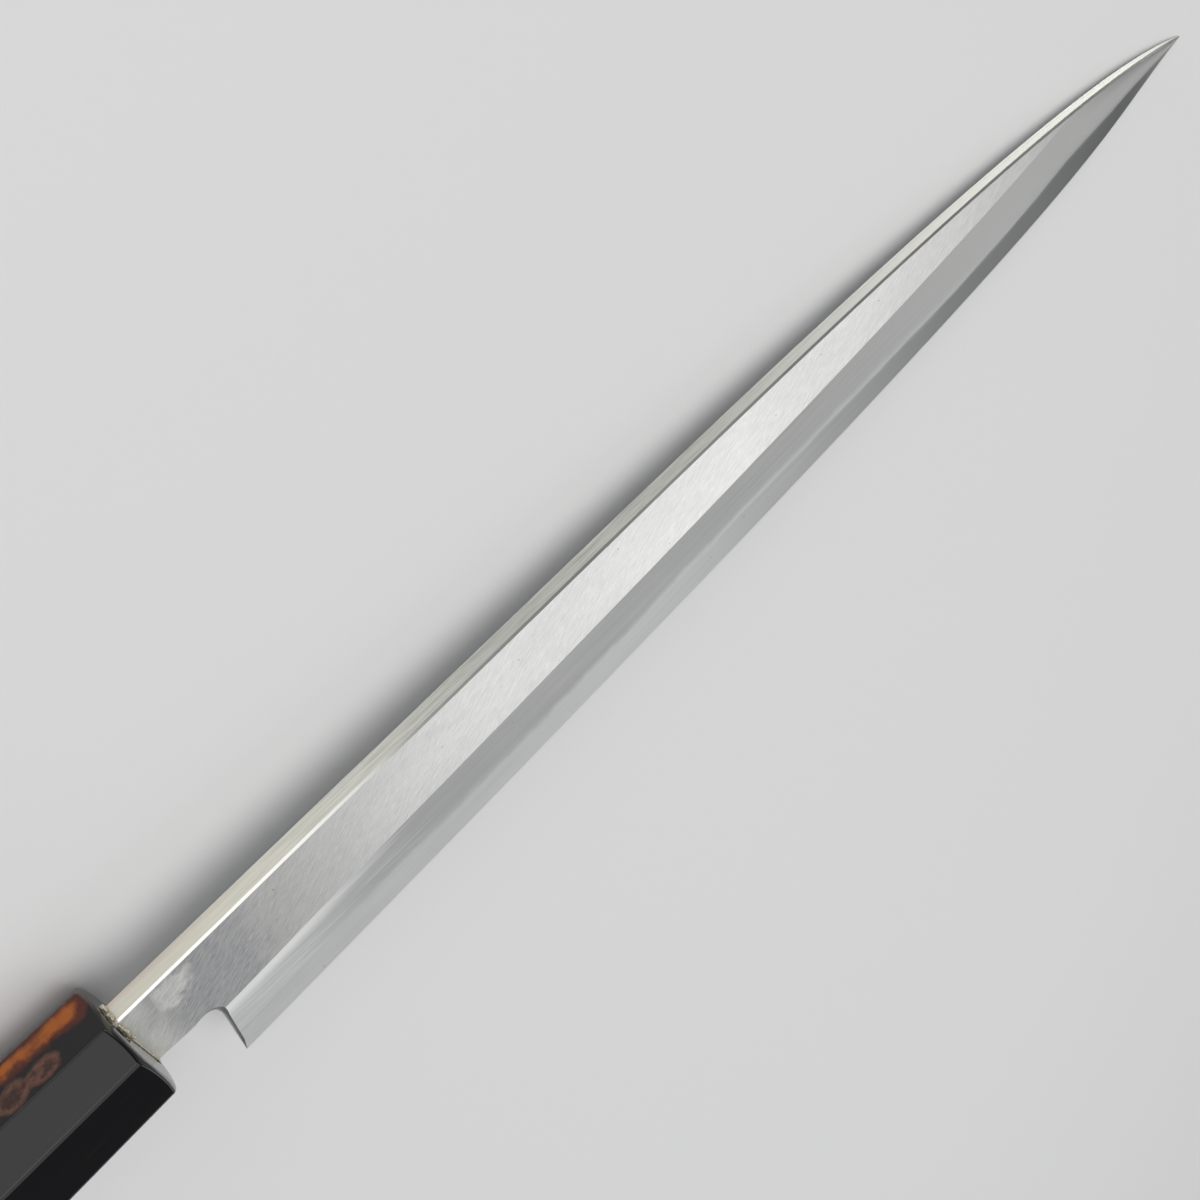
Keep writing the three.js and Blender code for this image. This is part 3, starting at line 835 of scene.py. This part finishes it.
def notch_path():
    """The notch's outline at the back: X, Y and the direction into the metal."""
    low, far = HEEL_Y - CUT_MARGIN, -NECK_SEAT - CUT_MARGIN
    cosine, sine, slope = math.cos(CHOIL_LEAN), math.sin(CHOIL_LEAN), math.tan(CHOIL_LEAN)
    round_y = NECK_LOW_Y - NECK_SAG - CHOIL_RADIUS
    round_x = HEEL_X + slope * (round_y - HEEL_Y) - CHOIL_RADIUS / cosine
    path = [(far, low, 0, -1)]
    for y in np.linspace(low, round_y - CHOIL_RADIUS * sine, WALL_STEPS)[:-1]:
        path.append((HEEL_X + slope * (y - HEEL_Y), y, cosine, -sine))
    for angle in np.linspace(-CHOIL_LEAN, math.pi / 2, ROUND_STEPS):
        c, s = math.cos(angle), math.sin(angle)
        path.append((round_x + CHOIL_RADIUS * c, round_y + CHOIL_RADIUS * s, c, s))
    for x in np.linspace(round_x, far, WALL_STEPS)[1:]:
        path.append((x, NECK_LOW_Y - NECK_SAG * smooth(x, 0, round_x), 0, 1))
    return path


def heel_cutter(finishes):
    """What the notch takes away: its walls flare out at the top, which rounds the blade's edge."""
    angles = np.linspace(0, FLARE, FLARE_STEPS)
    rings = [[] for _ in range(FLARE_STEPS + 3)]
    for x, y, out_x, out_y in notch_path():
        turned = smooth(math.asin(min(out_y, 1)), math.pi / 4, math.pi / 2)
        ease = HEEL_EASE + (NOTCH_EASE - HEEL_EASE) * smooth(out_y, *SCOOP)
        ease += (NECK_EASE - ease) * turned
        ease = min(ease, MOST_EASE * (face_z(max(x, 0), y) - BACK_Z))
        top = face_z(max(x, 0) + out_x * ease, y + out_y * ease) - CUT_SINK
        radius = ease / (1 - math.cos(FLARE))
        profile = [(0, BACK_Z - CUT_MARGIN)]
        for angle in angles:
            drop = radius * (math.sin(FLARE) - math.sin(angle))
            profile.append((radius * (1 - math.cos(angle)), top - drop))
        beyond = (ease + math.sin(FLARE), top + math.cos(FLARE))
        profile += [beyond, (beyond[0], BACK_Z + 2 * CUT_MARGIN)]
        for ring, (out, z) in zip(rings, profile):
            ring.append((x + out_x * out, y + out_y * out, z))
    cutter = Skin(finishes)
    cutter.add(rings[:2], "wall")
    cutter.add(rings[1:-1], "eased")
    cutter.add(rings[-2:], "wall")
    cutter.cap(rings[0], "wall")
    cutter.cap(rings[-1], "wall")
    return cutter.build("heel_cutter")


def cut(piece, cutter):
    """Cuts one solid out of another; both have the cut's finishes at the same places of their lists."""
    change = piece.modifiers.new("cut", "BOOLEAN")
    change.operation = "DIFFERENCE"
    change.solver = "EXACT"
    change.object = cutter
    view = bpy.context.evaluated_depsgraph_get()
    mesh = bpy.data.meshes.new_from_object(piece.evaluated_get(view))
    piece.modifiers.clear()
    close(mesh, CUT_REACH)
    mesh.name = piece.name
    piece.data = mesh


# Directions across and along the brush lines of each finish
ALONG_EDGE = ((0, 1, 0), (1, 0, 0))
BRUSHED = {
    "face": (
        (-math.sin(BRUSH_ANGLE), math.cos(BRUSH_ANGLE), 0),
        (math.cos(BRUSH_ANGLE), math.sin(BRUSH_ANGLE), 0),
    ),
    "spine": ((0, 0, 1), (1, 0, 0)),
    "chamfer": ((0, -1, 1), (1, 0, 0)),
    "wall": ((1, 1, 0), (0, 0, 1)),
}
BRUSH_SCALE = 0.01
LEAST_CLIMB = 0.1


def lay_maps(piece):
    """UV maps: one whose U runs across the brush lines, and one with the rise up the bevel."""
    mesh = piece.data
    brush, climb = mesh.uv_layers.new(name="brush"), mesh.uv_layers.new(name="rise")
    points = to_knife([v.co for v in mesh.vertices])
    x, y = points[:, 0], points[:, 1]
    weld = bevel_y(x, weld_at(x))
    shares = {
        "bevel": (y - weld) / np.maximum(ridge_at(x) - weld, LEAST_CLIMB),
        "edge": (y - edge_at(x)) / np.maximum(weld - edge_at(x), LEAST_CLIMB),
    }
    names = [m.name for m in mesh.materials]
    for face in mesh.polygons:
        name = names[face.material_index]
        across, along = BRUSHED.get(name, ALONG_EDGE)
        for loop in face.loop_indices:
            vertex = mesh.loops[loop].vertex_index
            flat = points[vertex] @ np.column_stack([across, along])
            brush.data[loop].uv = flat * BRUSH_SCALE
            climb.data[loop].uv = (shares[name][vertex] if name in shares else 0, 0)


STATIONS = np.concatenate([
    np.arange(-NECK_SEAT, FINE_END, FINE_STEP),
    np.arange(FINE_END, TIP_X - TIP_RUN, COARSE_STEP),
    TIP_X - TIP_RUN * (1 - np.linspace(0, 1, TIP_SECTIONS)) ** TIP_CROWDING,
])
WELD_STATIONS = np.concatenate([
    [STEEL_START + WELD_GAP / 2],
    STATIONS[STATIONS > STEEL_START + LEAST_STEP],
])
IRON_STATIONS = np.concatenate([
    STATIONS[STATIONS < STEEL_START - LEAST_STEP],
    [STEEL_START - WELD_GAP / 2],
    WELD_STATIONS,
])


def make_layer(name, finishes, section_at, stations):
    skin = Skin(finishes)
    sections = [section_at(x) for x in stations]
    skin.add([ring for ring, _ in sections], sections[0][1], capped="wall")
    return skin.build(name)


def tang_ring(x, size):
    y, z = size[0] / 2, size[1] / 2
    ring = []
    for sy, sz, swap in ((1, 1, 0), (-1, 1, 1), (-1, -1, 0), (1, -1, 1)):
        pair = [(sy * y, sz * (z - TANG_CORNER)), (sy * (y - TANG_CORNER), sz * z)]
        ring.extend(pair[::-1] if swap else pair)
    return [(x, a, b - BLADE_OFFSET) for a, b in ring]


def make_tang():
    tang = Skin(["wall"])
    tang.add([
        tang_ring(-NECK_SEAT - TANG_LENGTH, TANG_END_SIZE),
        tang_ring(-NECK_SEAT - TANG_LENGTH / 2, np.mean([TANG_SIZE, TANG_END_SIZE], axis=0)),
        tang_ring(-NECK_SEAT / 2, TANG_SIZE),
    ], "wall", capped="wall")
    return tang.build("blade_tang")


def make_blade():
    iron_finishes = ["bevel", "face", "chamfer", "spine", "back", "wall", "eased"]
    steel_finishes = ["edge", "honed", "chamfer", "spine", "back", "wall", "eased"]
    cutter = heel_cutter(iron_finishes)
    iron = make_layer("blade_iron", iron_finishes, iron_section, IRON_STATIONS)
    cut(iron, cutter)
    hard = make_layer("blade_steel", steel_finishes, steel_section, WELD_STATIONS)
    cut(hard, cutter)
    bpy.data.objects.remove(cutter)
    for piece, node, slot, sharp in (
        (iron, "blade_cladding", "soft_iron", BLADE_CREASE),
        (make_tang(), "blade_cladding", "soft_iron", TANG_CREASE),
        (hard, "edge_steel", "hard_steel", BLADE_CREASE),
    ):
        crease(piece, sharp)
        lay_maps(piece)
        place(piece, node)


# Handle


def outline(x):
    """Octagon across the handle with eased corners, as points in Y and Z."""
    share = np.clip(-x / HANDLE_LENGTH, 0, 1)
    y, z = (MOUTH_SIZE[i] / 2 + (BUTT_SIZE[i] - MOUTH_SIZE[i]) / 2 * share for i in (0, 1))
    corner = MOUTH_CORNER + (BUTT_CORNER - MOUTH_CORNER) * share
    corners = np.array([
        (y, -z + corner), (y, z - corner), (y - corner, z), (-y + corner, z),
        (-y, z - corner), (-y, -z + corner), (-y + corner, -z), (y - corner, -z),
    ])
    ring = []
    for i, here in enumerate(corners):
        back, ahead = corners[i - 1] - here, corners[(i + 1) % 8] - here
        a = here + back / np.linalg.norm(back) * ARRIS_EASE
        b = here + ahead / np.linalg.norm(ahead) * ARRIS_EASE
        for t in np.linspace(0, 1, ARRIS_STEPS):
            ring.append((1 - t) ** 2 * a + 2 * t * (1 - t) * here + t * t * b)
        reach = ahead + here - ahead / np.linalg.norm(ahead) * ARRIS_EASE - b
        for t in FACET_SHARES:
            ring.append(b + reach * t)
    return np.array(ring)


OUTLINE_COUNT = len(outline(0.0))


def rows(x, points):
    """Points in Y and Z, with their place along X put before them."""
    return np.column_stack([np.broadcast_to(x, len(points)), points])


def circle(radius, like):
    """Points of a circle that lie in the directions of other points."""
    angle = np.arctan2(like[:, 1], like[:, 0])
    return np.column_stack([np.cos(angle), np.sin(angle)]) * radius


def mouth_x(points):
    """Place along X of points on the turned mouth."""
    over = np.maximum(np.hypot(points[:, 0], points[:, 1]) - MOUTH_FLAT, 0)
    return np.sqrt(MOUTH_ROUND**2 - over**2) - MOUTH_ROUND


def outline_rows(x):
    """The outline with a place along X for each of its points."""
    return np.array([(x[i], *outline(x[i])[i]) for i in range(OUTLINE_COUNT)])


def slot_rim():
    """Points of the neck's slot that lie before those of the outline."""
    centre = np.array([SPINE_Y - NECK_HEIGHT / 2, -BLADE_OFFSET])
    half = np.array([NECK_HEIGHT / 2 + SLOT_CLEARANCE, SPINE_THICKNESS / 2 + SLOT_CLEARANCE])
    away = outline(0.0) - centre
    return centre + away / np.max(np.abs(away) / half, axis=1)[:, None]


def make_ferrule():
    lip_x = np.zeros(OUTLINE_COUNT)
    for _ in range(LIP_PASSES):
        lip_x = mouth_x(outline_rows(lip_x)[:, 1:])
    lip = outline_rows(lip_x)
    rim = slot_rim()
    rings = []
    for share in np.linspace(0, 1, MOUTH_ROWS)[:-1]:
        points = rim + (lip[:, 1:] - rim) * share
        rings.append(rows(mouth_x(points), points))
    inward = rim - lip[:, 1:]
    near = lip[:, 1:] + inward / np.linalg.norm(inward, axis=1)[:, None] * LIP_EASE
    side_start = outline_rows(lip_x - LIP_EASE)
    rings += eased(rows(mouth_x(near), near), lip, side_start)
    back = -FERRULE_LENGTH
    side_end = rows(back + SEAM_EASE, outline(back + SEAM_EASE))
    for share in np.linspace(0, 1, FERRULE_ROWS)[1:-1]:
        rings.append(side_start + (side_end - side_start) * share)
    end = outline(back)
    rings += eased(side_end, rows(back, end), rows(back, end * SEAM_INSET))
    bore = circle(BORE_RADIUS, end)
    slot_end = -NECK_SEAT - SLOT_CLEARANCE
    rings += [rows(back, bore), rows(slot_end - BORE_STEP, bore)]
    rings += [rows(slot_end, rim), rows(SLOT_MOUTH, rim)]
    skin = Skin(["horn"])
    skin.add(rings, "horn", joined=True)
    piece = skin.build("horn_ferrule")
    crease(piece, HANDLE_CREASE)
    place(piece, "ferrule")


def make_grip():
    start, butt = -FERRULE_LENGTH - JOINT_GAP, -HANDLE_LENGTH
    first, last = outline(start), outline(butt)
    bore = circle(BORE_RADIUS, first)
    rings = [rows(BORE_END, bore * AXIS_SHARE), rows(BORE_END, bore), rows(start, bore)]
    rings += eased(
        rows(start, first * SEAM_INSET),
        rows(start, first),
        rows(start - SEAM_EASE, outline(start - SEAM_EASE)),
    )
    for x in np.linspace(start, butt + BUTT_EASE, GRIP_ROWS)[1:-1]:
        rings.append(rows(x, outline(x)))
    rings += eased(
        rows(butt + BUTT_EASE, outline(butt + BUTT_EASE)),
        rows(butt, last),
        rows(butt, last * (1 - BUTT_EASE / (BUTT_SIZE[1] / 2))),
    )
    for share in BUTT_SHARES:
        rings.append(rows(butt, last * share))
    skin = Skin(["grip_wood"])
    skin.add(rings, "grip_wood", capped="grip_wood")
    piece = skin.build("wood_grip")
    crease(piece, HANDLE_CREASE)
    place(piece, "handle_body")


def neck_path():
    """Points round the neck's section in Y and Z, each with its direction outwards."""
    corners = [
        (NECK_LOW_Y, BACK_Z),
        (SPINE_Y, BACK_Z),
        (SPINE_Y, BACK_Z + SPINE_THICKNESS),
        (NECK_LOW_Y, BACK_Z + thickness_at(0.0, NECK_LOW_Y)),
    ]
    outward = [(-1, -1), (1, -1), (1, 1), (-1, 1)]
    path = []
    for i in range(4):
        here, there = np.array(corners[i]), np.array(corners[(i + 1) % 4])
        length = np.linalg.norm(there - here)
        flow = (there - here) / length
        side = np.array([flow[1], -flow[0]])
        for share in np.linspace(0, 1, int(length / BEAD_STEP), endpoint=False):
            out = np.array(outward[i], float) if share == 0 else side
            path.append((here + (there - here) * share, out))
    return path


def varied(chance, least, more):
    return least + more * chance.random()


def make_bead():
    """Resin pressed out of the slot: a thin line all round, with crumbs along the spine."""
    chance = np.random.default_rng(BEAD_SEED)
    path = neck_path()
    skin = Skin(["resin"])
    rings = []
    for here, out in path:
        height, width = varied(chance, *BEAD_HEIGHT), varied(chance, *BEAD_WIDTH)
        ring = []
        for share, lift in BEAD_PROFILE:
            y, z = here + out * (BEAD_GAP + width * share)
            ring.append((BEAD_GAP + height * lift, y, z))
        rings.append(ring)
    skin.add(rings, "resin", joined=True)
    for here, out in path:
        upper = np.clip((here[0] - CRUMB_START) / CRUMB_RUN, 0, 1)
        upper = upper if here[1] > BACK_Z + SPINE_EASE else 0
        for _ in range(CRUMB_TRIES):
            if chance.random() < upper * CRUMB_CHANCE:
                radius = varied(chance, *CRUMB_RADIUS)
                y, z = here + out * (BEAD_GAP + radius + CRUMB_STRAY * chance.random())
                x = BEAD_GAP + radius * CRUMB_FLATTENING + CRUMB_LIFT * chance.random()
                crumb(skin, (x, y, z), radius, chance)
    piece = skin.build("resin_bead")
    crease(piece, BEAD_CREASE)
    place(piece, "neck_seal")


def crumb(skin, centre, radius, chance):
    """A lump with uneven sides."""
    rings = []
    for tilt in np.linspace(CRUMB_POLE, math.pi - CRUMB_POLE, CRUMB_RINGS):
        ring = []
        for turn in np.linspace(0, 2 * math.pi, CRUMB_SIDES, endpoint=False):
            reach = radius * varied(chance, *CRUMB_REACH)
            ring.append((
                centre[0] + reach * CRUMB_FLATTENING * math.cos(tilt),
                centre[1] + reach * math.sin(tilt) * math.cos(turn),
                centre[2] + reach * math.sin(tilt) * math.sin(turn),
            ))
        rings.append(ring)
    skin.add(rings, "resin", capped="resin")


make_blade()
make_ferrule()
make_grip()
make_bead()
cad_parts["core_dowel"].data.materials.clear()
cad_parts["core_dowel"].data.materials.append(MATERIALS["dowel_wood"])

# Stage, in metres

FLOOR_HALF = 30.0
FLOOR_DROP = 0.0001
FLOOR_COLOUR = (0.86, 0.86, 0.855, 1)
FLOOR_ROUGHNESS = 0.7

floor_mesh = bpy.data.meshes.new("floor")
floor_corners = [(FLOOR_HALF * x, FLOOR_HALF * y, 0) for x, y in ((-1, -1), (1, -1), (1, 1), (-1, 1))]
floor_mesh.from_pydata(floor_corners, [], [(0, 1, 2, 3)])
floor = bpy.data.objects.new("floor", floor_mesh)
floor.location.z = -FLOOR_DROP
bpy.context.scene.collection.objects.link(floor)
floor_paint = bpy.data.materials.new("floor")
floor_paint.use_nodes = True
floor_shader = floor_paint.node_tree.nodes["Principled BSDF"]
floor_shader.inputs["Base Color"].default_value = FLOOR_COLOUR
floor_shader.inputs["Roughness"].default_value = FLOOR_ROUGHNESS
floor_mesh.materials.append(floor_paint)

# Soft lamps: name, place, aim, width and height, radiance and spread in degrees
OPEN_SPREAD = 180
SOFTBOXES = [
    ("window", (0.41, -0.80, 0.62), (0.05, 0, 0), (0.76, 0.36), 2.2, 60),
    ("front", (-0.34, 0.85, 0.97), (0, 0, 0), (1.1, 0.8), 1.35, OPEN_SPREAD),
    ("low", (-0.15, -1.05, 0.30), (0, 0, 0), (1.25, 0.22), 0.72, OPEN_SPREAD),
    ("heel", (-0.22, -0.98, 0.47), (-0.04, 0, 0), (0.62, 0.24), 0.6, OPEN_SPREAD),
    ("side", (-0.24, 0.92, 0.20), (-0.05, 0, 0.01), (0.62, 0.30), 1.8, 90),
    ("end", (0.90, 0.62, 0.16), (0.14, 0, 0.01), (0.9, 0.26), 5.5, 70),
]
SKY_ENERGY = 1.15
SKY_ANGLE = math.radians(70)


def softbox(name, at, aim, size, radiance, spread):
    """Oblong soft lamp; radiance is the brightness of its face, seen from the front."""
    lamp = bpy.data.lights.new(name, "AREA")
    lamp.shape = "RECTANGLE"
    lamp.size, lamp.size_y = size
    lamp.energy = radiance * math.pi * size[0] * size[1]
    if spread < OPEN_SPREAD:
        lamp.spread = math.radians(spread)
        half = lamp.spread / 2
        lamp.energy *= 1 - half / math.tan(half)
    holder = bpy.data.objects.new(name, lamp)
    holder.location = at
    holder.rotation_euler = (Vector(aim) - Vector(at)).to_track_quat("-Z", "Y").to_euler()
    bpy.context.scene.collection.objects.link(holder)


for box in SOFTBOXES:
    softbox(*box)

sky = bpy.data.lights.new("sky", "SUN")
sky.energy = SKY_ENERGY
sky.angle = SKY_ANGLE
bpy.context.scene.collection.objects.link(bpy.data.objects.new("sky", sky))

# A dim room whose walls are pale at the height of the floor: upward share of a direction, and colour
ROOM_STOPS = [(0.05, (0.425, 0.425, 0.425, 1)), (0.16, (0.15, 0.15, 0.155, 1))]

world = bpy.data.worlds.new("studio")
world.use_nodes = True
room = world.node_tree
height = room.nodes.new("ShaderNodeSeparateXYZ")
room.links.new(room.nodes.new("ShaderNodeTexCoord").outputs["Generated"], height.inputs["Vector"])
wall = room.nodes.new("ShaderNodeValToRGB")
wall.color_ramp.interpolation = "EASE"
for stop, (upward, colour) in zip(wall.color_ramp.elements, ROOM_STOPS):
    stop.position = upward
    stop.color = colour
room.links.new(height.outputs["Z"], wall.inputs["Fac"])
room.links.new(wall.outputs["Color"], room.nodes["Background"].inputs["Color"])
bpy.context.scene.world = world

# Camera at the photograph's place: its right, down and forward directions in the knife's axes

SEEN_RIGHT = Vector((0.69730, -0.32741, 0.63763))
SEEN_DOWN = Vector((-0.67732, -0.59207, 0.43669))
SEEN_AHEAD = Vector((0.23454, -0.73638, -0.63461))
CAMERA_AT = Vector((30.55, 242.23, 211.88))
PHOTO_FOCAL = 1862.4 / 1200
SENSOR_WIDTH = 36
NEAREST = 0.01

lens = bpy.data.cameras.new("camera")
lens.sensor_width = SENSOR_WIDTH
lens.lens = PHOTO_FOCAL * SENSOR_WIDTH
lens.clip_start = NEAREST
camera = bpy.data.objects.new("camera", lens)
axes = Matrix((TURN @ SEEN_RIGHT, -(TURN @ SEEN_DOWN), -(TURN @ SEEN_AHEAD))).transposed()
camera.matrix_world = Matrix.Translation((TURN @ CAMERA_AT + PLACE) * MILLIMETRE) @ axes.to_4x4()
bpy.context.scene.collection.objects.link(camera)
bpy.context.scene.camera = camera
bpy.context.scene.view_settings.view_transform = "Standard"
